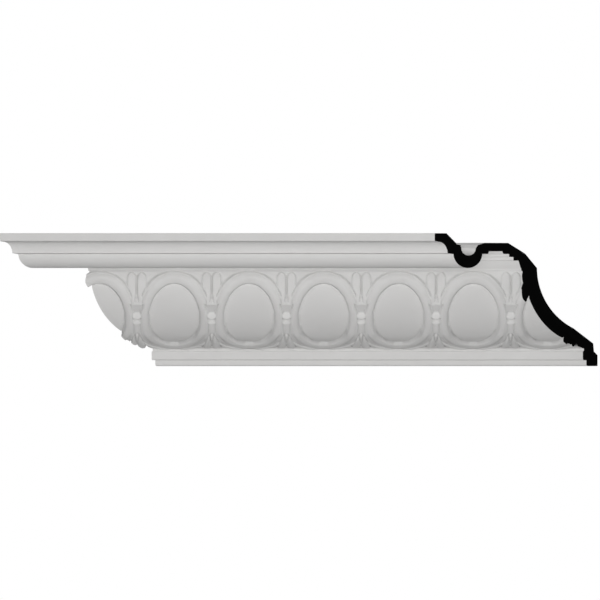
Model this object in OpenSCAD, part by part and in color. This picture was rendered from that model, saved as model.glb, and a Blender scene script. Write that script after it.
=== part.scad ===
// Egg-and-dart cornice moulding for the corner of a wall and a ceiling.
// One moulded piece, cut at both ends on parallel 45 degree planes, as for mitred corners.
// Millimetres, +Z up, the wall behind at +Y and the room in front at -Y.
// The origin is the middle of the strip that lies against the wall.

/* [Overall] */
// Length along the wall between the two mitre cuts
run_length = 590; // [350:10:720]
// Height from the lower edge to the ceiling
height = 181; // [160:1:230]
// Projection from the wall to the nose
projection = 225; // [180:5:240]
// Angle of the mitre cuts, seen from above
mitre = 45; // [30:1:60]

/* [Crown and soffit] */
// Height of the upright face of the nose
nose_h = 10.4; // [8:0.2:20]
// Width of the flat that lies against the ceiling
ceiling_w = 16; // [10:1:24]
// Set-back of the cavetto under the nose
lip_w = 2.5; // [1:0.5:5]
// Height of the small lip over the cavetto
lip_h = 2.4; // [0.5:0.1:4]
// Radius of the cavetto
cavetto_r = 15; // [10:0.5:20]
// Width of each flat land of the soffit
land_w = 8; // [5:0.5:12]
// Radius of the hanging half-round
bead_r = 19.8; // [14:0.2:24]
// Height of the half-round's centre over the soffit
bead_rise = 0.5; // [0:0.1:5]
// Depth of the recess in the soffit
recess_h = 3.6; // [1:0.1:6]
// Width of the recess in the soffit
recess_w = 21; // [12:1:30]

/* [Steps over the eggs] */
// Height of the first and second riser
riser_h = [4, 5]; // [2:0.5:8]
// Width of the first and second tread
tread_w = [6, 7]; // [4:0.5:10]
// Height and width of the slope that runs down to the carved band
splay = [10, 3]; // [2:0.5:12]
// Set-back of the eggs' face from the foot of that slope
band_set = 2.7; // [1:0.1:4]

/* [Foot] */
// Height of the lower strip
strip_h = 8.2; // [5:0.2:12]
// Projection of the lower strip
strip_w = 15.6; // [12:0.5:20]
// Height of the fascia over the lower strip
fascia_h = 12.8; // [8:0.2:20]
// Projection of the fascia
fascia_w = 20.5; // [18:0.5:28]
// Height of the fillet between the fascia and the carved band
fillet_h = 4.6; // [4:0.2:10]
// Height of the strip that lies against the wall
wall_strip_h = 15; // [10:1:25]

/* [Shell] */
// Thickness of the moulding behind the carved band
shell_t = 20; // [14:0.5:24]
// Thickness of the moulding over the soffit
soffit_t = 15; // [10:0.5:20]
// Thickness of the half-round at its lowest point
bead_t = 17; // [12:0.5:20]
// Radius of the hollow behind the half-round
hollow_r = 10; // [6:0.5:12]

/* [Eggs] */
// Distance from one egg to the next
pitch = 102; // [85:1:130]
// Distance from the left end of the nose to the first egg's centre
first_egg = 134; // [0:1:200]
// Gap between two neighbouring rings
ring_gap = 1.4; // [1:0.2:6]
// Width of the ring at the sides of the egg
ring_side_w = 15.4; // [10:0.2:20]
// Width of the ring over and under the egg
ring_end_w = 17.5; // [8:0.5:20]
// Margin of the ring from the upper and lower end of the carved band
ring_margin = 3.5; // [1:0.5:6]
// Height of the ring's crest
ring_h = 7; // [4:0.5:9]
// Height of the step between the egg and its ring
ring_step = 3.2; // [1.5:0.1:5]
// Fall of the egg's face from its middle line to its sides
egg_fall = 1.6; // [0:0.1:2]

/* [Darts] */
// Length of the two upright petals, and of the spear between them
petal_l = [44, 18]; // [10:1:50]
// Half width and height of a petal
petal = [4.8, 5]; // [3:0.1:8]
// Length of the calyx under the petals
calyx_l = 13; // [8:0.5:18]
// Half width and height of the collar
collar = [5.4, 9]; // [3:0.1:10]
// Length of the collar
collar_l = 10; // [6:0.5:14]
// Half width and height of a lobe of the foot leaf
lobe = [4.8, 5]; // [3:0.1:8]
// Length of the foot leaf
leaf_l = 32; // [20:1:36]
// Margin of the dart from the upper and lower end of the carved band
dart_margin = [4, 8]; // [2:0.5:12]

/* [Hidden] */

ground = 2;          // the carved band's ground lies this far below the face of the eggs
root = 4;            // carved pieces start this far below the ground
ring_edge = 1;       // the ring's outer edge stands this far over the eggs' face
egg_seat = 1.06;     // an egg runs in under its ring by this share of its oval
petal_gap = 4.6;     // between the two petals of a dart
sectors = 24;        // sides of an egg and its ring
strips = 12;         // flat strips in the bed under the carving
slant = 1.5;         // slanted ends of the recess and of the strips' edges
back_bend = [16, 22, 40];   // bends of the shell's back over the steps, from its face at the ovolo
back_lift = 4;       // rise of the middle bend
ledge = 3;           // ledge inside the hollow's mouth
mouth = 12;          // width of the hollow's flared mouth on the wall side
back_foot = [6, 16]; // where the shell's back meets the strip on the wall
foot_turn = 12;      // the foot takes over from the ovolo's back by this many degrees
over = 20;           // cutting shapes reach this far past the piece
skew = tan(mitre);

// heights are from the lower edge, projections from the wall
soffit_v = height - nose_h - lip_h - cavetto_r;
bead_u = projection - lip_w - cavetto_r - land_w - bead_r;
recess_u = bead_u - bead_r - land_w;
steps_u = recess_u - recess_w - land_w;
top_u = steps_u - tread_w[0] - tread_w[1] - splay[1] - band_set;
top_v = soffit_v - riser_h[0] - riser_h[1] - splay[0];
foot_v = strip_h + fascia_h + fillet_h;

// the ovolo runs from an upright tangent at the top to the fillet over the fascia
rise = top_v - foot_v;
run = top_u - fascia_w;
ovolo_r = (run * run + rise * rise) / (2 * run);
ovolo_end = 2 * atan(run / rise);
band_s = ovolo_r * ovolo_end * PI / 180;
centre_u = top_u - ovolo_r;
centre_v = top_v;

// ovals of the eggs and rings: half width, half height and centre along the band
ring_a = (pitch - ring_gap) / 2;
ring_b = band_s / 2 - ring_margin;
egg_a = ring_a - ring_side_w;
egg_b = ring_b - ring_end_w;
oval_s = band_s / 2;

// the first and last repeat that reach between the mitre cuts
start_x = -run_length / 2 - projection * skew + first_egg;
first_n = floor((-run_length / 2 - top_u * skew - start_x - pitch / 2) / pitch);
last_n = ceil((run_length / 2 - start_x) / pitch);

// a point of the carved band: x along the run, s down the ovolo, h out from the eggs' face
function on_band(x, s, h) =
    let (a = s / ovolo_r * 180 / PI, r = ovolo_r + h)
    [x, -centre_u - r * cos(a), centre_v - r * sin(a) - wall_strip_h / 2];

// quads and caps that close a list of sections with m points each
function tube_faces(n, m, closed) = concat(
    [for (i = [0:n - (closed ? 1 : 2)], j = [0:m - 1])
        let (k = (i + 1) % n, l = (j + 1) % m)
        each [[i * m + j, i * m + l, k * m + j], [i * m + l, k * m + l, k * m + j]]],
    closed ? [] : [[for (j = [m - 1:-1:0]) j], [for (j = [0:m - 1]) (n - 1) * m + j]]
);

// a ridge along a spine of [x, s, half width, height over the eggs' face], rooted in the bed
ridge_t = [-1, -0.7, 0, 0.7, 1];
ridge_h = [0, 0.75, 1, 0.75, 0];

module ridge(spine) {
    n = len(spine);
    m = len(ridge_t);
    function side(i) =
        let (d = spine[min(i + 1, n - 1)] - spine[max(i - 1, 0)], l = norm([d[0], d[1]]))
        [d[1] / l, -d[0] / l];
    points = [for (i = [0:n - 1], j = [0:m - 1])
        let (p = spine[i], c = side(i) * p[2] * ridge_t[j])
        on_band(p[0] + c[0], p[1] + c[1],
            j == 0 || j == m - 1 ? -ground - root : ridge_h[j] * p[3])];
    polyhedron(points, tube_faces(n, m, false), convexity = 4);
}

// one egg: a shallow dome whose edge runs in under the ring
module egg(x) {
    levels = [0.5, egg_seat];
    n = len(levels);
    function at(t, a, h) = on_band(x + egg_a * t * cos(a), oval_s + egg_b * t * sin(a), h);
    face = [for (t = levels, i = [0:sectors - 1])
        let (a = i * 360 / sectors) at(t, a, -egg_fall * pow(t * cos(a), 2))];
    base = [for (i = [0:sectors - 1]) at(levels[n - 1], i * 360 / sectors, -ground - root)];
    points = concat(face, base, [at(0, 0, 0)]);
    polyhedron(points, concat(
        [for (i = [0:n - 1], j = [0:sectors - 1])
            let (l = (j + 1) % sectors)
            each [[i * sectors + l, i * sectors + j, (i + 1) * sectors + j],
                [i * sectors + l, (i + 1) * sectors + j, (i + 1) * sectors + l]]],
        [for (j = [0:sectors - 1]) [len(points) - 1, j, (j + 1) % sectors]],
        [[for (j = [sectors - 1:-1:0]) n * sectors + j]]
    ), convexity = 4);
}

// the ring round an egg: its section runs from the inner oval over the crest to the outer one
module ring(x) {
    across = [0, 0, 0.5, 1, 1];
    out = [-ground - root, ring_step, ring_h, ring_edge, -ground - root];
    points = [for (i = [0:sectors - 1], j = [0:len(across) - 1])
        let (a = i * 360 / sectors, t = across[j])
        on_band(x + (egg_a + (ring_a - egg_a) * t) * cos(a),
            oval_s + (egg_b + (ring_b - egg_b) * t) * sin(a), out[j])];
    polyhedron(points, tube_faces(sectors, len(across), true), convexity = 6);
}

// the dart between two eggs: petals, spear, calyx, collar, stem and foot leaf
module dart(x) {
    top_s = dart_margin[0];
    calyx_s = top_s + petal_l[0];
    collar_s = calyx_s + calyx_l;
    stem_s = collar_s + collar_l;
    foot_s = band_s - dart_margin[1];
    leaf_s = foot_s - leaf_l;
    mid = petal[0] + petal_gap / 2;
    for (k = [-1, 1]) {
        ridge([
            [x + k * mid, top_s, petal[0] * 0.45, petal[1]],
            [x + k * mid, top_s + petal[0], petal[0], petal[1]],
            [x + k * mid, top_s + petal_l[0] * 0.45, petal[0], petal[1]],
            [x + k * (mid - 2.4), calyx_s + 1, petal[0] * 0.5, petal[1]]
        ]);
        ridge([
            [x + k * 2.6, leaf_s + 2, lobe[0] * 0.4, lobe[1] - 1],
            [x + k * 5.4, leaf_s + leaf_l * 0.45, lobe[0], lobe[1]],
            [x + k * 9, foot_s, lobe[0] * 0.7, lobe[1]]
        ]);
    }
    ridge([[x, calyx_s - petal_l[1], 0.5, 2], [x, calyx_s, 2.2, petal[1]]]);
    ridge([[x, calyx_s - 1, collar[0], petal[1] + 2], [x, collar_s + 1, collar[0] - 1, 3]]);
    ridge([[x, collar_s, collar[0], 4], [x, stem_s - 2, collar[0], collar[1]],
        [x, stem_s, collar[0] - 0.5, 4]]);
    ridge([[x, stem_s, collar[0], 4.5], [x, stem_s + 6, collar[0], collar[1] - 1],
        [x, leaf_s, collar[0] - 0.6, collar[1] - 1.5]]);
    ridge([[x, leaf_s, 1, 4], [x, leaf_s + 7, 2.2, lobe[1] + 2.5], [x, foot_s - 8, 1, lobe[1]]]);
}

// the bed under the carving, in flat strips round the ovolo
module band_bed() {
    length = run_length + 2 * projection * skew;
    function at(r, t) =
        let (a = ovolo_end * t)
        [centre_u + r * cos(a), centre_v - r * sin(a) - wall_strip_h / 2];
    translate([-length / 2, 0, 0]) rotate([90, 0, 90]) linear_extrude(length) mirror([1, 0])
        polygon(concat(
            [for (i = [0:strips]) at(ovolo_r - ground, i / strips)],
            [for (i = [strips:-1:0]) at(ovolo_r - ground - 2 * root, i / strips)]
        ));
}

// the run of eggs, rings and darts: resize() by nothing keeps it one faceted skin
module carved_band() {
    resize([0, 0, 0]) intersection() {
        union() {
            band_bed();
            for (n = [first_n:last_n]) {
                x = start_x + n * pitch;
                egg(x);
                ring(x);
                dart(x + pitch / 2);
            }
        }
        mitred_space(5);
    }
}

// section over the carved band: nose, cavetto, half-round, recessed soffit and steps
module crown_profile() {
    inner_v = soffit_v + soffit_t;
    back_u = top_u - shell_t;
    nose_back = projection - ceiling_w;
    slope_w = height - inner_v;
    hollow_u = bead_u - 1;
    hollow_v = soffit_v + bead_rise - bead_r + bead_t + hollow_r;
    difference() {
        union() {
            difference() {
                polygon([
                    [projection, height], [projection, height - nose_h],
                    [projection - lip_w, height - nose_h], [projection - lip_w, soffit_v],
                    [recess_u, soffit_v], [recess_u - slant, soffit_v + recess_h],
                    [recess_u - recess_w + slant, soffit_v + recess_h],
                    [recess_u - recess_w, soffit_v], [steps_u, soffit_v],
                    [steps_u, soffit_v - riser_h[0]],
                    [steps_u - tread_w[0], soffit_v - riser_h[0]],
                    [steps_u - tread_w[0], soffit_v - riser_h[0] - riser_h[1]],
                    [top_u + band_set + splay[1], top_v + splay[0]],
                    [top_u + band_set, top_v], [top_u - ground - 1, top_v - root],
                    [back_u + 1, top_v - root], [back_u + 1, top_v],
                    [back_u + back_bend[0], soffit_v],
                    [back_u + back_bend[1], soffit_v + back_lift],
                    [back_u + back_bend[2], inner_v], [nose_back - slope_w, inner_v],
                    [nose_back, height]
                ]);
                translate([projection - lip_w, soffit_v]) circle(r = cavetto_r, $fn = 64);
            }
            translate([bead_u, soffit_v + bead_rise]) circle(r = bead_r, $fn = 64);
        }
        // the hollow behind the half-round, with a ledge on the room side
        translate([hollow_u, hollow_v]) circle(r = hollow_r, $fn = 64);
        polygon([
            [hollow_u - hollow_r, hollow_v], [hollow_u - hollow_r - ledge, inner_v - ledge],
            [hollow_u - hollow_r - mouth, inner_v], [hollow_u - hollow_r - mouth, height + over],
            [nose_back + over, height + over], [nose_back - slope_w, inner_v],
            [nose_back - slope_w - ledge / 2, inner_v - ledge + 0.6],
            [hollow_u + hollow_r + 1, inner_v - ledge],
            [hollow_u + hollow_r, hollow_v]
        ]);
    }
}

// section of the ovolo shell that carries the carved band
module ovolo_profile() {
    reach = 2 * ovolo_r;
    translate([centre_u, centre_v]) intersection() {
        difference() {
            circle(r = ovolo_r - ground - root, $fn = 128);
            circle(r = ovolo_r - shell_t, $fn = 128);
        }
        polygon([[0, 0], [reach, 0], [reach, -reach * tan(ovolo_end / 2)],
            [reach * cos(ovolo_end), -reach * sin(ovolo_end)]]);
    }
}

// section of the foot: fascia, lower strip and the strip against the wall
module foot_profile() {
    a = ovolo_end - foot_turn;
    polygon([
        [0, 0], [strip_w - slant, 0], [strip_w, slant], [strip_w, strip_h],
        [fascia_w - 1, strip_h], [fascia_w, strip_h + 1],
        [fascia_w, strip_h + fascia_h - 1], [fascia_w - 1, strip_h + fascia_h],
        [fascia_w - slant, foot_v - 2], [fascia_w + 2, foot_v + 2],
        [centre_u + (ovolo_r - shell_t) * cos(a) + 2, centre_v - (ovolo_r - shell_t) * sin(a) - 1],
        [centre_u + (ovolo_r - shell_t) * cos(a) - 1, centre_v - (ovolo_r - shell_t) * sin(a)],
        [back_foot[0], wall_strip_h + back_foot[1]], [back_foot[0] - 1, wall_strip_h + 5],
        [0, wall_strip_h]
    ]);
}

// the plain run, longer than the piece at both ends
module plain_run() {
    length = run_length + 2 * projection * skew + over;
    translate([-length / 2, 0, -wall_strip_h / 2])
        rotate([90, 0, 90]) linear_extrude(length) mirror([1, 0]) {
            crown_profile();
            ovolo_profile();
            foot_profile();
        }
}

// what lies between the two mitre cuts, or spare more at each end
module mitred_space(spare = 0) {
    near = projection + over;
    half = run_length / 2 + spare;
    translate([0, 0, -height]) linear_extrude(3 * height) polygon([
        [-half + over * skew, over], [half + over * skew, over],
        [half - near * skew, -near], [-half - near * skew, -near]
    ]);
}

module cornice_moulding() {
    color("gainsboro") intersection() {
        union() {
            plain_run();
            carved_band();
        }
        mitred_space();
    }
}

cornice_moulding();
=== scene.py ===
import math

import bmesh
import bpy
import numpy as np
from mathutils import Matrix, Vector


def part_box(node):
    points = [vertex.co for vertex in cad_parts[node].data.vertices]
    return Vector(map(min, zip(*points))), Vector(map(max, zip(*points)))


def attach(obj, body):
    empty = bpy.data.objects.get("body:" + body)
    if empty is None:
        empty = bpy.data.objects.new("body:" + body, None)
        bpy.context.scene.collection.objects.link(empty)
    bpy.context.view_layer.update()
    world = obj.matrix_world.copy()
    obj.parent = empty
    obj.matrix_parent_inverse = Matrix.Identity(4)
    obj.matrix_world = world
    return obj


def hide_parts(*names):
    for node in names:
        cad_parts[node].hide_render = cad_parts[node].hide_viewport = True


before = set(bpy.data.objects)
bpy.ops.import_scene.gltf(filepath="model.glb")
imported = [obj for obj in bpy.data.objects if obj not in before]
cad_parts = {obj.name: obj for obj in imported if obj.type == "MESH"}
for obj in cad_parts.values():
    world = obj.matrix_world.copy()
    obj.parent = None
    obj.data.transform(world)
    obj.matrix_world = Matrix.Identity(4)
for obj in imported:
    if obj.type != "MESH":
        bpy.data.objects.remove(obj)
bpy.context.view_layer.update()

mm = 0.001
nodeName = "cornice_moulding"
low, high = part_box(nodeName)

# everything below is in millimetres until a mesh is made
height = (high[2] - low[2]) / mm
projection = -low[1] / mm
wallStrip = -2 * low[2] / mm
runLength = (high[0] - low[0]) / mm - projection  # both ends are cut at 45 degrees

section = {
    "noseHeight": 10.4, "ceilingWidth": 16, "lipWidth": 2.5, "lipHeight": 2.4, "cavettoRadius": 15,
    "quirkWidth": 4.7, "quirkFall": 1.1, "landWidth": 8, "landRise": 0.8, "landFall": 0.5,
    "beadRadius": 19.8, "beadRise": 0.5, "recessDepth": 3.6, "recessWidth": 21,
    "risers": (4, 5), "treads": (6, 7), "splayHeight": 10, "splayWidth": 3, "bandSet": 2.7,
    "stripHeight": 8.2, "stripWidth": 15.6, "fasciaHeight": 12.8, "fasciaWidth": 20.5,
    "filletHeight": 4.6, "filletSet": 1.5, "filletDrop": 1.2, "shell": 20, "shellStart": 12, "soffit": 15,
    "beadShell": 17, "hollowRadius": 10, "edgeRound": 0.6,
}

soffitV = height - section["noseHeight"] - section["lipHeight"] - section["cavettoRadius"]
landU = projection - section["lipWidth"] - section["cavettoRadius"] - section["landWidth"]
beadU = landU - section["beadRadius"]
recessU = beadU - section["beadRadius"] - section["landWidth"]
stepsU = recessU - section["recessWidth"] - section["landWidth"]
topU = stepsU - sum(section["treads"]) - section["splayWidth"] - section["bandSet"]
topV = soffitV - sum(section["risers"]) - section["splayHeight"]
footV = section["stripHeight"] + section["fasciaHeight"] + section["filletHeight"]
bandRise = topV - footV
bandRun = topU - section["fasciaWidth"]
ovoloRadius = (bandRun ** 2 + bandRise ** 2) / (2 * bandRun)
ovoloEnd = 2 * math.atan(bandRun / bandRise)
bandLength = ovoloRadius * ovoloEnd
centreU = topU - ovoloRadius
centreV = topV

carving = {
    "pitch": 102, "firstEgg": 134,
    # eggs: half sizes of the outline, fall to the sides and the foot, rolled edge, lean of the wall
    "eggHalf": 35.1, "eggEnd": 52.7, "eggLow": 56.8, "eggPower": 1.86,
    "eggFall": 2.0, "eggRoll": 1.8, "eggTuck": 1.8, "rollWidth": 3.2, "wall": 0.5, "wallLean": 1.3,
    # rings: half sizes, heights from the inner edge over the crest to the outer edge, ribbon outside
    "ringHalf": 50.3, "ringEnd": 70.5, "ringDown": 0.9, "ringPower": 2.15,
    "ringInner": 4.6, "crest": 7.3, "crestAt": 0.53, "footSink": 3.6, "ringOuter": 3.7,
    "lowEdge": 2.6, "crestStep": 1.9, "lip": 0.9, "ribbon": 2.9, "ribbonAt": 3.6, "ribbonHalf": 3.0,
    # flat strip over the carving, and the ground between the rings
    "strip": 3.4, "stripOut": 1.9, "ground": 0.7, "footOut": 1.2,
    # darts, from the top down
    "petalAt": 6.9, "petalHalf": 5.9, "petalTop": 5.6, "petalEnd": 48.9, "lancet": 9,
    "spearTop": 35.5, "calyxEnd": 61.6, "calyxHalf": (7.8, 4.1), "calyxOut": (7.2, 2.6),
    "collarEnd": 69.6, "collarHalf": 5.2, "collarHeight": 9.2, "collarBow": 1.3, "stemTop": 72.4,
    "stemHeight": 8, "stemHalf": 4.4, "archTop": 94.5, "archFall": 7.5, "leafEnd": 136.5,
    "leafHalf": (4.2, 12.8), "lobe": 5.2, "keel": 8.2, "keelHalf": (2.4, 1.4),
    # drilled spots, which are sunk and get painted shade, and how strongly painted shade darkens the creases
    "eyes": ((0, 134.5), (12.2, 139.5)), "eyeDepth": 3, "eyeSize": (1.4, 2.5),
    "creaseShade": 0.2, "creaseDepth": 1.1,
}
midS = bandLength / 2


def step(x, a, b):
    # smooth step: 0 below a, 1 above b, and 3t2 - 2t3 between
    t = np.clip((x - a) / (b - a), 0, 1)
    return t * t * (3 - 2 * t)


def mix(a, b, t):
    # a where t is 0, b where t is 1, straight between
    return a + (b - a) * t


def ovalRadius(x, s, a, b, power=2.0):
    # 1 on an oval of half sizes a and b, 0 in its middle, and growing evenly outwards
    return ((np.abs(x / a) + 1e-9) ** power + (np.abs(s / b) + 1e-9) ** power) ** (1 / power)


def ovalDistance(x, s, a, b, power=2.0):
    # distance outside a rounded oval: its radius less one, over how fast that radius grows there
    across, along = np.abs(x / a) + 1e-9, np.abs(s / b) + 1e-9
    r = ovalRadius(x, s, a, b, power)
    slope = r ** (1 - power) * np.hypot(across ** (power - 1) / a, along ** (power - 1) / b)
    return (r - 1) / np.maximum(slope, 0.3 / b)


def eggShape(se):
    # half width, half length and roundness of the egg's outline, longer and slimmer below its middle
    c = carving
    return c["eggHalf"], np.where(se > 0, c["eggLow"], c["eggEnd"]), np.where(se > 0, c["eggPower"], 2.0)


def eggDistance(xe, se):
    # distance outside the egg's outline, less than 0 inside it
    return ovalDistance(xe, se, *eggShape(se))


def eggAndRing(h, xe, se):
    # two slopes meet in a crest between an inner oval and an outer one, and the egg lies inside the inner one
    # gives the height, and the distance from each point out to the ring's edge
    c = carving
    inner = eggDistance(xe, se)
    outer = -ovalDistance(xe, se - c["ringDown"], c["ringHalf"], c["ringEnd"], c["ringPower"])
    down = np.clip(se / c["eggEnd"], 0, 1)
    t = np.clip(inner / np.maximum(inner + outer, 1e-6), 0, 1)
    width = np.maximum(inner + outer, 1)
    sink = c["footSink"] * step(se / np.hypot(xe, se), 0.55, 0.92)
    swell = np.sin(np.clip(t / c["crestAt"], 0, 1) * math.pi / 2) ** 0.9
    climb = mix(c["ringInner"] - 0.6 * sink, c["crest"] - sink, swell)
    drop = c["crestStep"] * step(se, 20, 34) * step(np.abs(xe), 8, 22)
    past = (t - c["crestAt"]) * width
    k = np.clip((t - c["crestAt"]) / (1 - c["crestAt"]), 0, 1)
    edge = c["ringOuter"] + c["lowEdge"] * step(se, 10, 30) * (1 - sink / c["footSink"]) - 0.6 * sink
    fall = mix(c["crest"] - sink, edge, k ** 1.25) - drop * step(past, 0, 0.9) * (1 - 0.6 * k)
    fall = fall + c["lip"] * np.exp(-((outer - 1.3) / 0.7) ** 2) - 0.4 * np.exp(-((outer - 3.0) / 0.7) ** 2)
    ring = np.where(t < c["crestAt"], climb, fall)
    h = mix(h, np.maximum(ring, h), step(outer, -0.2, 0.5))

    # half-round ribbon outside the ring's lower half
    ribbon = np.sqrt(np.clip(1 - ((outer + c["ribbonAt"]) / c["ribbonHalf"]) ** 2, 0, 1))
    ribbon = c["ribbon"] * ribbon * step(se, 24, 42)
    h = np.where(outer < -0.5, np.maximum(h, ribbon + 0.4), h)

    lean = mix(c["wall"], c["wallLean"], down ** 2)
    roll = 1 - np.sqrt(np.clip(1 - np.clip(1 + inner / c["rollWidth"], 0, 1) ** 2, 0, 1))
    dome = -c["eggFall"] * (xe / c["eggHalf"]) ** 2 - c["eggTuck"] * np.clip((down - 0.45) / 0.55, 0, 1) ** 3
    egg = dome - c["eggRoll"] * roll
    wall = mix(dome - c["eggRoll"], c["ringInner"] - 0.6 * sink, np.clip(inner / lean, 0, 1))
    return np.where(inner < 0, egg, np.where(inner < lean, np.minimum(wall, h), h)), outer


def dartHeight(h, q, s, outer):
    # one member after the other replaces the height where it lies: q from the dart's middle, s from the top
    c = carving
    # petals: lancet tops, straight flanks until they meet the rings, rising to the ridge over the calyx
    up = np.clip((c["petalTop"] + c["lancet"] - s) / c["lancet"], 0, 1)
    flank = c["petalHalf"] * np.sqrt(np.clip(1 - up ** 2.2, 0, 1)) - np.abs(q - c["petalAt"])
    flank = np.minimum(flank, np.where(q > c["petalAt"], -outer - 0.2, 99))
    late = step(s, 34, c["petalEnd"])
    flank = np.where(q > c["petalAt"], np.maximum(flank, (6.6 - q) * late - 5 * (1 - late)), flank)
    rise = mix(3.6, 6.8, step(s, 26, c["petalEnd"]))
    petal = rise + 1.1 * np.sqrt(np.clip(1 - ((q - c["petalAt"]) / (c["petalHalf"] + 0.6)) ** 2, 0, 1)) - 1.1
    inside = (s > c["petalTop"]) & (s < c["petalEnd"])
    h = np.where(inside, mix(h, petal, step(flank, -0.1, 0.8)), h)

    # spear between the petals: a wedge that widens to the ridge, with a cut on each side
    t = np.clip((s - c["spearTop"]) / (c["petalEnd"] - c["spearTop"]), 0, 1)
    half = 2.0 * t ** 0.8 + 2.6 * step(t, 0.6, 1)
    spear = mix(4.4, 7.6, t) - 1.0 * q / np.maximum(half, 0.2)
    band = (s > c["spearTop"] - 2) & (s < c["petalEnd"])
    h = np.where(band, h - 2.4 * (1 - step(t, 0.55, 0.9)) * np.exp(-((q - half - 0.5) / 0.65) ** 2), h)
    h = np.where(inside, h - 1.6 * np.exp(-(q / 0.7) ** 2) * (1 - step(s, 33, 38)) * step(s, 8, 13), h)
    h = np.where(band, mix(h, np.maximum(spear, h), step(half - q, -0.2, 0.4)), h)

    # calyx: its face falls back towards the collar between two deep flanks
    t = np.clip((s - c["petalEnd"]) / (c["calyxEnd"] - c["petalEnd"]), 0, 1)
    half = mix(*c["calyxHalf"], t)
    calyx = mix(*c["calyxOut"], t ** 0.85)
    below = (s >= c["petalEnd"]) & (s < c["calyxEnd"])
    h = np.where(below, h - 2.6 * np.exp(-((q - half - 1.0) / 1.0) ** 2) * (1 - 0.5 * t), h)
    h = np.where(below, mix(h, calyx, step(half - q, -0.3, 0.4)), h)

    # collar and stem: faces that lean out until they stand nearly upright, each with a sharp drop below
    bow = c["collarBow"] * (1 - (np.minimum(q, c["collarHalf"]) / c["collarHalf"]) ** 2)
    t = (s - c["calyxEnd"]) / (c["collarEnd"] - c["collarBow"] + bow - c["calyxEnd"])
    face = mix(c["calyxOut"][1], c["collarHeight"], np.clip(t, 0, 1) ** 0.8) - 0.3 * (q / c["collarHalf"]) ** 4
    face = np.where(t > 1, mix(c["collarHeight"] - 0.7, 3.2, step(t, 1.0, 1.12)), face)
    inside = (s >= c["calyxEnd"]) & (s < c["stemTop"])
    h = np.where(inside, mix(h, face, step(c["collarHalf"] + 0.3 - q, -0.1, 0.5)), h)
    arch = c["archTop"] + c["archFall"] * (q / 5) ** 2
    t = s - c["stemTop"]
    body = mix(3.6, c["stemHeight"], step(t, -1.5, 6.5) ** 0.8)
    half = mix(c["collarHalf"], c["stemHalf"], step(t, 4.5, 7))
    narrow = body - 0.3 - 0.9 * np.clip(q / half, 0, 2) ** 2 * step(t, 4, 8)
    inside = (t >= 0) & (s < arch)
    h = np.where(inside, mix(h, np.maximum(narrow, h), step(half - q, -0.3, 0.6)), h)

    # foot leaf: cut in under the arch, with a keel and a lobe on each side
    t = np.clip((s - c["archTop"]) / (c["leafEnd"] - c["archTop"]), 0, 1)
    half = mix(*c["leafHalf"], t ** 1.1)
    swell = np.sqrt(np.clip(1 - (2 * q / half - 1.05) ** 2, 0, 1))
    lobe = c["lobe"] * (0.5 + 0.5 * step(t, 0, 0.5)) * (0.45 + 0.55 * swell)
    leaf = (s >= arch) & (s < c["leafEnd"])
    cover = step(half - q, -0.2, 0.8)
    h = np.where(leaf, mix(h, lobe, cover), h)
    h = np.where(leaf, h - 1.6 * np.exp(-((q - half) / 0.8) ** 2) * step(t, 0.1, 0.3), h)
    h = np.where(leaf, h - 3.0 * (1 - step(s, arch, arch + 3)) * step(7 - q, 0, 2), h)
    keelHalf = mix(*c["keelHalf"], t)
    keel = mix(2.8, c["keel"], step(s, arch + 0.6, arch + 6)) - 4.2 * step(t, 0.28, 0.62)
    keel = np.maximum(keel - 1.4 * (q / keelHalf) ** 2, h)
    return np.where(leaf & (t < 0.75), mix(h, keel, step(keelHalf - q, 0, 0.5)), h)


def fromEgg(x):
    # distance along the run from the middle of the nearest egg, negative to its left
    return (x - eggStart + carving["pitch"] / 2) % carving["pitch"] - carving["pitch"] / 2


def fromDart(x):
    # distance along the run from the middle of the nearest dart, to either side
    return np.abs((x - eggStart) % carving["pitch"] - carving["pitch"] / 2)


def eyeMask(x, s):
    # 1 in the drilled spots at the foot of each dart, 0 outside them; each is twice as long as wide
    q, mask = fromDart(x), 0 * s
    for eyeQ, eyeS in carving["eyes"]:
        mask = np.maximum(mask, 1 - step(np.hypot(q - eyeQ, (s - eyeS) * 0.5), *carving["eyeSize"]))
    return mask


def bandHeight(x, s):
    # height over the eggs' face: strip under the splay and ground first, then rings, eggs and darts on them
    c = carving
    h = c["ground"] + 0.9 * step(s, 5, 14) - 0.9 * step(s, 14, 30)
    h = mix(c["stripOut"], h - 0.7 * (1 - step(s, 4, 9)), step(s, c["strip"], c["strip"] + 1.0))
    h = mix(section["bandSet"], h, step(s, 0, 1.2))
    h = mix(h, c["footOut"], step(s, bandLength - 2.5, bandLength))
    h, outer = eggAndRing(h, fromEgg(x), s - midS)
    h = dartHeight(h, fromDart(x), s, outer)
    return h - c["eyeDepth"] * eyeMask(x, s)


def arc(cu, cv, r, a0, a1, n):
    # points of a circle round (cu, cv) from angle a0 to a1, in degrees
    a = np.radians(np.linspace(a0, a1, n))
    return np.stack([cu + r * np.cos(a), cv + r * np.sin(a)], axis=1)


def rounded(points, r):
    # each corner gives way to three points of the parabola that touches both sides r away from it
    p = np.asarray(points, float)
    before, after = p[:-2] - p[1:-1], p[2:] - p[1:-1]
    lb, la = (np.linalg.norm(d, axis=1, keepdims=True) for d in (before, after))
    d = np.minimum(r, np.minimum(lb, la) * 0.4)
    a, b = p[1:-1] + before / lb * d, p[1:-1] + after / la * d
    mid = (a + b + 2 * p[1:-1]) / 4
    inner = np.stack([a, mid, b], axis=1).reshape(-1, 2)
    return np.concatenate([p[:1], inner, p[-1:]])


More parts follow.
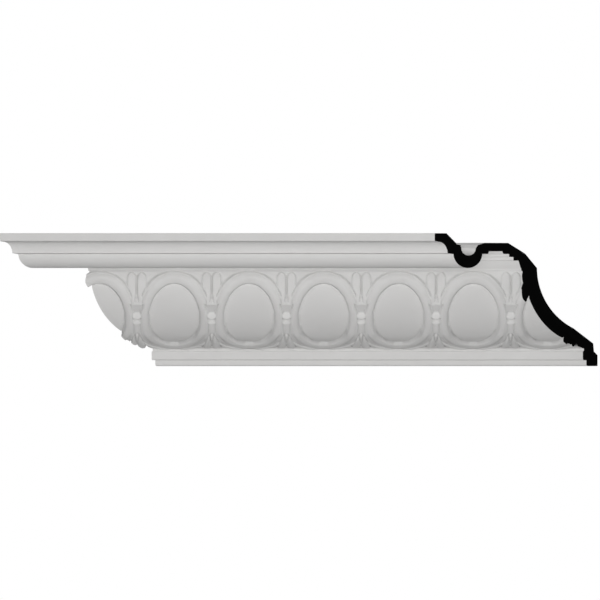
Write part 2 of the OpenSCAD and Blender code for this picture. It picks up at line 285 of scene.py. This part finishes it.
def sectionLine():
    # the outline from the carved band's foot round the back and the nose to its top, as (projection, height)
    c = section
    e = math.degrees(ovoloEnd)
    fw, sh, fh = c["fasciaWidth"], c["stripHeight"], c["fasciaHeight"]
    # fillet, fascia and strip, then the face on the wall and the first bend of the back
    foot = [
        bandPoint(bandLength, carving["footOut"]), (fw - c["filletSet"], footV - c["filletDrop"]),
        (fw - c["filletSet"], sh + fh), (fw, sh + fh - 1), (fw, sh + 1), (fw - 1, sh),
        (c["stripWidth"], sh), (c["stripWidth"], 1.5), (c["stripWidth"] - 1.5, 0), (0, 0),
        (0, wallStrip), (5, wallStrip + 5), (6, wallStrip + 16),
    ]
    backR = ovoloRadius - c["shell"]
    shellArc = arc(centreU, centreV, backR, c["shellStart"] - e, 0, 40)
    innerV = soffitV + c["soffit"]
    noseBack = projection - c["ceilingWidth"]
    slope = height - innerV
    hollowU = beadU - 1
    hr = c["hollowRadius"]
    hollowV = soffitV + c["beadRise"] - c["beadRadius"] + c["beadShell"] + hr
    backTop = topU - c["shell"]
    # back of the steps up to the hollow behind the bead
    crown = [
        (backTop + 1, topV + 1), (backTop + 16, soffitV), (backTop + 22, soffitV + 4), (backTop + 40, innerV),
        (hollowU - hr - 12, innerV), (hollowU - hr - 3, innerV - 3),
    ]
    hollow = arc(hollowU, hollowV, hr, 180, 360, 24)
    # from the hollow over the slanted back to the face on the ceiling, and down the nose
    nose = [
        (hollowU + hr + 1, innerV - 3), (noseBack - slope - 1.5, innerV - 2.4), (noseBack - slope, innerV),
        (noseBack, height), (projection, height), (projection, height - c["noseHeight"]),
        (projection - c["quirkWidth"], height - c["noseHeight"] - c["quirkFall"]),
    ]
    startU, startV = nose[-1]
    endU, endV = startU + c["quirkWidth"] - c["lipWidth"] - c["cavettoRadius"], soffitV + c["landRise"]
    a = np.radians(np.linspace(90, 180, 24))
    cavetto = np.stack([startU + (startU - endU) * np.cos(a), endV + (startV - endV) * np.sin(a)], axis=1)
    land = [(beadU + c["beadRadius"] + 0.4, soffitV - c["landFall"])]
    beadA = math.degrees(math.asin(c["beadRise"] / c["beadRadius"]))
    bead = arc(beadU, soffitV + c["beadRise"], c["beadRadius"], -beadA, beadA - 180, 48)
    ru, rw, rd = recessU, c["recessWidth"], c["recessDepth"]
    r1, r2 = c["risers"]
    t1, t2 = c["treads"]
    steps = [
        (ru, soffitV), (ru - 1.5, soffitV + rd), (ru - rw + 1.5, soffitV + rd), (ru - rw, soffitV),
        (stepsU, soffitV), (stepsU, soffitV - r1), (stepsU - t1, soffitV - r1),
        (stepsU - t1, soffitV - r1 - r2), (stepsU - t1 - t2, soffitV - r1 - r2), bandPoint(0, c["bandSet"]),
    ]
    r = c["edgeRound"]
    return np.concatenate([
        rounded(foot, r), shellArc, rounded(crown, r), hollow, rounded(nose, r), cavetto[1:], land, bead,
        rounded(steps, r)])


def bandPoint(s, h):
    # the ovolo is an arc: angle s over radius down from level, h further out
    a = s / ovoloRadius
    return centreU + (ovoloRadius + h) * np.cos(a), centreV - (ovoloRadius + h) * np.sin(a)


def spread(stops):
    # even points between stops, each stretch with its own spacing
    parts = [np.linspace(a, b, max(2, round((b - a) / d) + 1))[:-1] for a, b, d in stops]
    return np.concatenate(parts + [[stops[-1][1]]])


def snapped(x, s):
    # points near an egg's edge move onto the two ovals at the foot and the top of the ring's wall
    c = carving
    xe, se = fromEgg(x), s - midS
    d = eggDistance(xe, se)
    r = ovalRadius(xe, se, *eggShape(se))
    lean = mix(c["wall"], c["wallLean"], np.clip(se / c["eggEnd"], 0, 1) ** 2)
    goal = np.where(d < lean / 2, -0.02, lean + 0.02)
    near = (np.abs(d - goal) < 0.75) & (r > 0.5)
    rate = np.where(np.abs(r - 1) > 1e-6, d / np.where(np.abs(r - 1) > 1e-6, r - 1, 1), c["eggEnd"])
    scale = np.where(near, 1 + (goal - d) / rate / r, 1)
    return x + xe * (scale - 1), s + se * (scale - 1)


def makeMoulding():
    # columns repeat with the eggs and rows run down the ovolo; each point is its arc moved out by the height
    # the plain members are straight strips from end to end along the section's outline
    c = carving
    first = math.floor((-runLength / 2 - projection - eggStart) / c["pitch"])
    last = math.ceil((runLength / 2 - eggStart) / c["pitch"])
    half, dart = c["pitch"] / 2, 14  # columns stand closer within this of a dart's middle
    cell = [(-half, -half + dart, 0.9), (-half + dart, half - dart, 1.45), (half - dart, half, 0.9)]
    cell = spread(cell)[:-1]
    columns = (eggStart + np.arange(first, last + 1)[:, None] * c["pitch"] + cell[None, :]).ravel()
    reach = 20  # the body runs this far past the mitres before they are cut
    leftEnd, rightEnd = -runLength / 2 - topU - reach, runLength / 2 - section["fasciaWidth"] + reach
    columns = columns[(columns > leftEnd) & (columns < rightEnd)]
    rows = spread([
        (0, 14, 0.85), (14, 46, 1.3), (46, 62, 1.0), (62, 80, 0.8), (80, 93, 1.4), (93, 106, 0.85),
        (106, 122, 1.15), (122, 132, 0.65), (132, bandLength, 0.9)])
    x, s = np.meshgrid(columns, rows, indexing="xy")
    inside = np.zeros_like(x, bool)
    inside[2:-2, 1:-1] = True
    xs, ss = snapped(x, s)
    x, s = np.where(inside, xs, x), np.where(inside, ss, s)
    h = bandHeight(x, s)
    h[0, :] = section["bandSet"]
    h[-1, :] = c["footOut"]
    u, v = bandPoint(s, h)
    bandPoints = np.stack([x, -u, v - wallStrip / 2], axis=-1).reshape(-1, 3)

    line = sectionLine()[1:-1]
    ends = np.array([-1, 1]) * (runLength / 2 + projection + reach)
    plain = np.stack(np.broadcast_arrays(
        ends[None, :], -line[:, 0, None], line[:, 1, None] - wallStrip / 2), axis=-1).reshape(-1, 3)
    n, m = len(rows), len(columns)
    k = np.arange(n * m).reshape(n, m)
    quads = np.stack([k[:-1, :-1], k[:-1, 1:], k[1:, 1:], k[1:, :-1]], axis=-1).reshape(-1, 4)
    p = n * m + np.arange(len(plain)).reshape(-1, 2)
    strips = np.stack([p[:-1, 0], p[:-1, 1], p[1:, 1], p[1:, 0]], axis=-1)
    faces = quads.tolist() + strips.tolist()
    faces.append(k[-1, :].tolist() + [int(p[0, 1]), int(p[0, 0])])       # from the band's foot to the fillet
    faces.append([int(p[-1, 0]), int(p[-1, 1])] + k[0, ::-1].tolist())   # from the splay to the band's top
    mesh = bpy.data.meshes.new("cornice")
    mesh.from_pydata((np.concatenate([bandPoints, plain]) * mm).tolist(), [], faces)
    # creases lie below the mean of their neighbours; their colour is darkened towards near black as painted
    # shade
    around = h
    for axis in (0, 1):
        around = (np.roll(around, 2, axis) + around + np.roll(around, -2, axis)) / 3
    crease = c["creaseShade"] * np.clip((around - h) / c["creaseDepth"], 0, 1)
    byEgg = step(3.5 - np.abs(eggDistance(fromEgg(x), s - midS)), 0, 1)
    crease = crease * step(s, 7, 10) * (1 - 0.7 * byEgg)
    crease[[0, 1, -2, -1]] = 0
    # painted shade: creases and the drilled spots, which are also sunk into the surface, get a darkened colour
    # through the 'deep' attribute
    deep = np.zeros(len(mesh.vertices), np.float32)
    deep[:n * m] = np.maximum(crease, eyeMask(x, s)).ravel()
    mesh.attributes.new("deep", "FLOAT", "POINT").data.foreach_set("value", deep)
    print("moulding grid:", n, "rows of", m, "points")
    return mesh, n * m


def cutEnds(mesh, bandCount):
    # two upright planes at 45 degrees to the run; what lies past them goes and the openings close flat
    bm = bmesh.new()
    bm.from_mesh(mesh)
    carved = bm.verts.layers.int.new("carved")
    bm.verts.ensure_lookup_table()
    for vertex in bm.verts[:bandCount]:
        vertex[carved] = 1
    for side in (-1, 1):
        cut = bmesh.ops.bisect_plane(
            bm, geom=bm.verts[:] + bm.edges[:] + bm.faces[:], dist=1e-7,
            plane_co=(side * runLength / 2 * mm, 0, 0),
            plane_no=(side / math.sqrt(2), -side / math.sqrt(2), 0), clear_outer=True)
        edges = [e for e in cut["geom_cut"] if isinstance(e, bmesh.types.BMEdge) and e.is_boundary]
        cap = bmesh.ops.edgeloop_fill(bm, edges=edges, mat_nr=1)
        print("cut end", side, "closed with", len(cap["faces"]), "face of", len(edges), "edges")
    bmesh.ops.recalc_face_normals(bm, faces=bm.faces[:])
    bm.to_mesh(mesh)
    bm.free()


def shadeMoulding(mesh):
    # smooth everywhere, but sharp where the plain members turn and round the cut ends
    mesh.polygons.foreach_set("use_smooth", np.ones(len(mesh.polygons), bool))
    mesh.set_sharp_from_angle(angle=math.radians(24))
    pairs = np.empty(len(mesh.edges) * 2, np.int32)
    mesh.edges.foreach_get("vertices", pairs)
    carved = np.empty(len(mesh.vertices), np.int32)
    mesh.attributes["carved"].data.foreach_get("value", carved)
    both = carved[pairs].reshape(-1, 2).all(axis=1)
    co = np.empty(len(mesh.vertices) * 3, np.float32)
    mesh.vertices.foreach_get("co", co)
    flat = np.zeros(len(mesh.edges), bool)
    mesh.attributes["sharp_edge"].data.foreach_get("value", flat)
    onCut = np.abs(np.abs(co.reshape(-1, 3)[:, 0] - co.reshape(-1, 3)[:, 1]) - runLength / 2 * mm) < 1e-6
    cutEdge = onCut[pairs].reshape(-1, 2).all(axis=1)
    mesh.attributes["sharp_edge"].data.foreach_set("value", (flat & ~both) | cutEdge)
    mesh.update()


eggStart = -runLength / 2 - projection + carving["firstEgg"]

# the near-black third colour is painted shade, mixed into creases and drilled spots
primer = {
    "pale": (0.755, 0.75, 0.742, 1), "dull": (0.715, 0.708, 0.698, 1), "paintedShade": (0.02, 0.02, 0.02, 1),
    "roughness": (0.56, 0.7), "specular": 0.5,
    "grainScale": 2200, "grainBump": 0.00006, "cloudScale": 26, "cloudBump": 0.00025,
}
cutPaint = {
    "pale": (0.005, 0.005, 0.005, 1), "dull": (0.003, 0.003, 0.003, 1), "paintedShade": (0.003, 0.003, 0.003, 1),
    "roughness": (0.8, 0.9), "specular": 0,
    "grainScale": 1500, "grainBump": 0.00005, "cloudScale": 40, "cloudBump": 0.0001,
}


def makeMouldedCoat():
    # a sprayed coat on foam: fine grain plus soft clouds, both from noise at the object's own coordinates
    group = bpy.data.node_groups.new("mouldedCoat", "ShaderNodeTree")
    for name in ("Grain Scale", "Cloud Scale", "Grain Height", "Cloud Height"):
        group.interface.new_socket(name, in_out="INPUT", socket_type="NodeSocketFloat")
    for name in ("Cloud", "Height"):
        group.interface.new_socket(name, in_out="OUTPUT", socket_type="NodeSocketFloat")
    nodes, links = group.nodes, group.links
    given, out = nodes.new("NodeGroupInput"), nodes.new("NodeGroupOutput")
    place = nodes.new("ShaderNodeTexCoord")
    heights = []
    # grain first and clouds last, so that noise is the clouds after the loop
    for size, tall, detail in (("Grain Scale", "Grain Height", 2), ("Cloud Scale", "Cloud Height", 3)):
        noise = nodes.new("ShaderNodeTexNoise")
        noise.inputs["Detail"].default_value = detail
        links.new(place.outputs["Object"], noise.inputs["Vector"])
        links.new(given.outputs[size], noise.inputs["Scale"])
        times = nodes.new("ShaderNodeMath")
        times.operation = "MULTIPLY"
        links.new(noise.outputs["Fac"], times.inputs[0])
        links.new(given.outputs[tall], times.inputs[1])
        heights.append(times)
    both = nodes.new("ShaderNodeMath")
    both.operation = "ADD"
    for i, times in enumerate(heights):
        links.new(times.outputs[0], both.inputs[i])
    links.new(noise.outputs["Fac"], out.inputs["Cloud"])
    links.new(both.outputs[0], out.inputs["Height"])
    return group


def makeCoat(name, look, group):
    # colour and roughness go from one value to the other with the clouds; the grain is bump only
    mat = bpy.data.materials.new(name)
    mat.use_nodes = True
    nodes, links = mat.node_tree.nodes, mat.node_tree.links
    shader = nodes["Principled BSDF"]
    shader.inputs["Specular IOR Level"].default_value = look["specular"]
    coat = nodes.new("ShaderNodeGroup")
    coat.node_tree = group
    for socket, key in (("Grain Scale", "grainScale"), ("Cloud Scale", "cloudScale"),
                        ("Grain Height", "grainBump"), ("Cloud Height", "cloudBump")):
        coat.inputs[socket].default_value = look[key]
    colour = nodes.new("ShaderNodeMix")
    colour.data_type = "RGBA"
    colour.inputs["A"].default_value = look["pale"]
    colour.inputs["B"].default_value = look["dull"]
    links.new(coat.outputs["Cloud"], colour.inputs["Factor"])
    # painted shade: the colour goes to near black where the 'deep' attribute marks creases and drilled spots
    paintedShade = nodes.new("ShaderNodeMix")
    paintedShade.data_type = "RGBA"
    paintedShade.inputs["B"].default_value = look["paintedShade"]
    deep = nodes.new("ShaderNodeAttribute")
    deep.attribute_name = "deep"
    links.new(deep.outputs["Fac"], paintedShade.inputs["Factor"])
    links.new(colour.outputs["Result"], paintedShade.inputs["A"])
    links.new(paintedShade.outputs["Result"], shader.inputs["Base Color"])
    rough = nodes.new("ShaderNodeMapRange")
    rough.inputs["To Min"].default_value, rough.inputs["To Max"].default_value = look["roughness"]
    links.new(coat.outputs["Cloud"], rough.inputs["Value"])
    links.new(rough.outputs["Result"], shader.inputs["Roughness"])
    bump = nodes.new("ShaderNodeBump")
    bump.inputs["Distance"].default_value = 1.0
    links.new(coat.outputs["Height"], bump.inputs["Height"])
    links.new(bump.outputs["Normal"], shader.inputs["Normal"])
    return mat


mesh, bandCount = makeMoulding()
cutEnds(mesh, bandCount)
shadeMoulding(mesh)
moulding = bpy.data.objects.new("corniceMoulding", mesh)
bpy.context.scene.collection.objects.link(moulding)
coatGroup = makeMouldedCoat()
mesh.materials.append(makeCoat("primerWhite", primer, coatGroup))
mesh.materials.append(makeCoat("cutPaintBlack", cutPaint, coatGroup))
print("materials:", ", ".join(material.name for material in mesh.materials))
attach(moulding, "root")
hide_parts(nodeName)
mesh.calc_loop_triangles()
print("moulding:", len(mesh.loop_triangles), "triangles")

studio = {
    # metres, and how bright floor and sky are on the piece and as the camera sees them
    "floorDrop": 0.7, "floorSize": 5, "floorGlow": 0.055, "floorShown": 0.55,
    "floorColour": (0.8, 0.8, 0.8, 1), "floorRoughness": 0.9,
    "cameraDistance": 20, "cameraHeight": 0.0905, "fill": 1.003, "clipEnd": 200,
    "skyLight": 0.072, "skyShown": 1.0,
    # name, degrees to the right, degrees up, metres away, size, watts, casts shadows
    "lights": (("keyLight", 1, 16, 3.2, 1.2, 31, False), ("frontLight", 1, 6, 3.2, 1.2, 24, True),
               ("backLight", 180, 40, 3.2, 1.6, 26, True)),
}


def seenOrLit(tree, lit, seen):
    # one strength for the light that reaches the piece, another for what the camera sees directly
    path = tree.nodes.new("ShaderNodeLightPath")
    strength = tree.nodes.new("ShaderNodeMapRange")
    strength.inputs["To Min"].default_value = lit
    strength.inputs["To Max"].default_value = seen
    tree.links.new(path.outputs["Is Camera Ray"], strength.inputs["Value"])
    return strength.outputs["Result"]


def makeStudio():
    # pale sky and floor, area lights on a sphere round the piece, and a far camera level with its middle
    scene = bpy.context.scene
    scene.view_settings.view_transform = "Standard"
    world = bpy.data.worlds.new("studioSky")
    scene.world = world
    world.use_nodes = True
    tree = world.node_tree
    back = tree.nodes["Background"]
    tree.links.new(seenOrLit(tree, studio["skyLight"], studio["skyShown"]), back.inputs["Strength"])
    back.inputs["Color"].default_value = (1, 1, 1, 1)

    size = studio["floorSize"]
    floorMesh = bpy.data.meshes.new("studioFloor")
    z = low[2] - studio["floorDrop"]
    corners = [(-size, -size, z), (size, -size, z), (size, size, z), (-size, size, z)]
    floorMesh.from_pydata(corners, [], [(0, 1, 2, 3)])
    floor = bpy.data.objects.new("studioFloor", floorMesh)
    scene.collection.objects.link(floor)
    paint = bpy.data.materials.new("floorPaint")
    paint.use_nodes = True
    shader = paint.node_tree.nodes["Principled BSDF"]
    shader.inputs["Base Color"].default_value = studio["floorColour"]
    shader.inputs["Roughness"].default_value = studio["floorRoughness"]
    shader.inputs["Emission Color"].default_value = (1, 1, 1, 1)
    glow = seenOrLit(paint.node_tree, studio["floorGlow"], studio["floorShown"])
    paint.node_tree.links.new(glow, shader.inputs["Emission Strength"])
    floorMesh.materials.append(paint)

    aim = Vector(((low[0] + high[0]) / 2, low[1] / 2, 0))
    for name, turn, lift, away, width, power, shadow in studio["lights"]:
        lamp = bpy.data.lights.new(name, "AREA")
        lamp.energy = power
        lamp.size = width
        lamp.use_shadow = shadow
        holder = bpy.data.objects.new(name, lamp)
        turn, lift = math.radians(turn), math.radians(lift)
        way = Vector((math.sin(turn) * math.cos(lift), -math.cos(turn) * math.cos(lift), math.sin(lift)))
        holder.location = aim + way * away
        holder.rotation_euler = way.to_track_quat("Z", "Y").to_euler()
        holder.visible_camera = False
        scene.collection.objects.link(holder)

    lens = bpy.data.cameras.new("studioCamera")
    camera = bpy.data.objects.new("studioCamera", lens)
    far = studio["cameraDistance"]
    lens.lens = lens.sensor_width * far * studio["fill"] / (high[0] - low[0])
    lens.clip_end = studio["clipEnd"]
    camera.location = ((low[0] + high[0]) / 2, low[1] - far, low[2] + studio["cameraHeight"])
    camera.rotation_euler = (math.radians(90), 0, 0)
    scene.collection.objects.link(camera)
    scene.camera = camera
    print("studio:", len(studio["lights"]), "lights, camera", far, "m away")


makeStudio()
